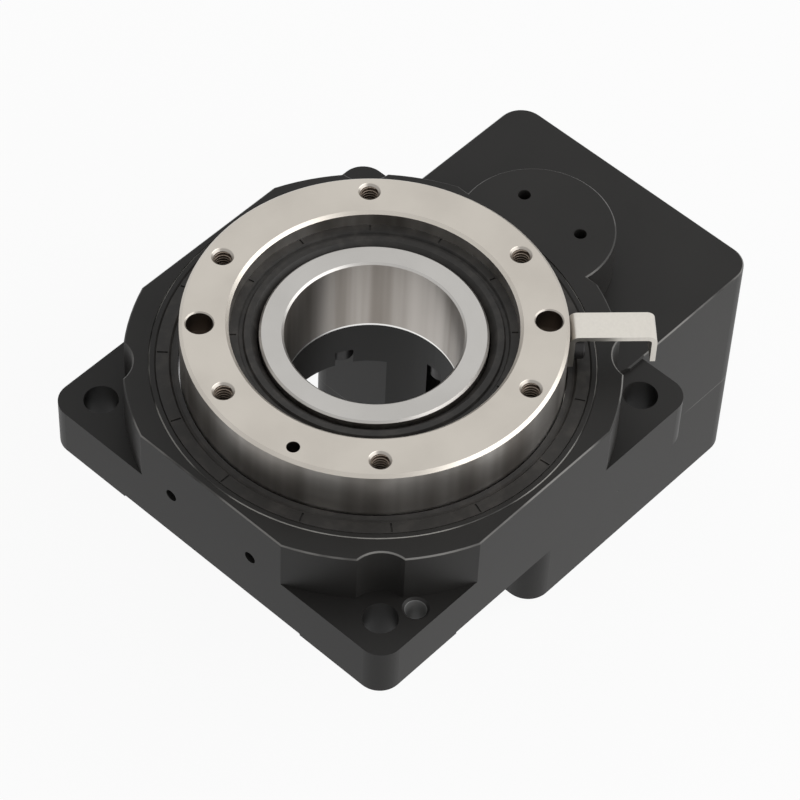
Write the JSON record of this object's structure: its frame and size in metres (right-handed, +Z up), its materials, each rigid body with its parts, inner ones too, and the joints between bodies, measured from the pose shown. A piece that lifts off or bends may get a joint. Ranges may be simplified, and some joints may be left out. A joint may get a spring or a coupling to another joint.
{
  "type": "hollow rotary platform",
  "caption": "Hollow rotary platform: a steel table ring on a square flanged base turns on a crossed roller bearing, driven through a gear pair by a motor mount beside it.",
  "frame": {"origin": "on the table's axis, in the plane of the base's mounting pads", "axes": "+Z up along the hollow bore towards the table's face, +X from the table's axis towards the motor block, +Y to the left of +X seen from above"},
  "size_m": [0.1177, 0.085, 0.075],
  "materials": {
    "black_anodised": "black anodised, satin",
    "black_adapter": "black anodised, satin, motor face bare",
    "black_retainer": "black anodised, satin",
    "sleeve_steel": "turned bright",
    "table_steel": "ground and turned bright",
    "bearing_steel": "ground",
    "roller_steel": "polished",
    "gear_steel": "cut teeth, lightly oiled",
    "spring_steel": "phosphated spring steel",
    "bright_sheet": "bright rolled sheet",
    "bright_collar": "turned bright",
    "black_screws": "black oxide",
    "seal_rubber": "moulded, matt"
  },
  "bodies": {
    "frame": {"housing": "black_anodised", "motor_adapter": "black_adapter", "fixed_sleeve": "sleeve_steel", "sleeve_screws": "black_screws", "outer_ring_lower": "bearing_steel", "outer_ring_upper": "bearing_steel", "retainer_ring": "black_retainer", "outer_seal": "seal_rubber", "adapter_screws": "black_screws", "upper_outer_race": "bearing_steel", "lower_outer_race": "bearing_steel", "outer_spacer": "bearing_steel", "housing_circlip": "spring_steel", "shaft_seal": "seal_rubber"},
    "table": {"table_ring": "table_steel", "bearing_inner_ring": "bearing_steel", "ring_gear": "gear_steel", "gear_screws": "black_screws", "inner_seal": "seal_rubber", "sensor_flag": "bright_sheet", "flag_screw": "black_screws"},
    "rollers": {"bearing_rollers": "roller_steel"},
    "input": {"upper_balls": "roller_steel", "lower_balls": "roller_steel", "pinion_shaft": "gear_steel", "upper_inner_race": "bearing_steel", "lower_inner_race": "bearing_steel", "inner_spacer": "bearing_steel", "shaft_circlip": "spring_steel", "clamp_collar": "bright_collar", "clamp_screw": "black_screws"}
  },
  "joints": [
    {"name": "table_turn", "type": "hinge", "parent": "frame", "child": "table", "pos_m": [0, 0, 0], "axis": [0, 0, 1], "continuous": true},
    {"name": "roller_orbit", "type": "hinge", "parent": "frame", "child": "rollers", "pos_m": [0, 0, 0.016], "axis": [0, 0, 1], "continuous": true},
    {"name": "pinion_turn", "type": "hinge", "parent": "frame", "child": "input", "pos_m": [0.045, 0, 0], "axis": [0, 0, 1], "continuous": true}
  ],
  "couplings": [
    {"joint": "roller_orbit", "follows": "table_turn", "ratio": 0.48},
    {"joint": "pinion_turn", "follows": "table_turn", "ratio": -5}
  ]
}
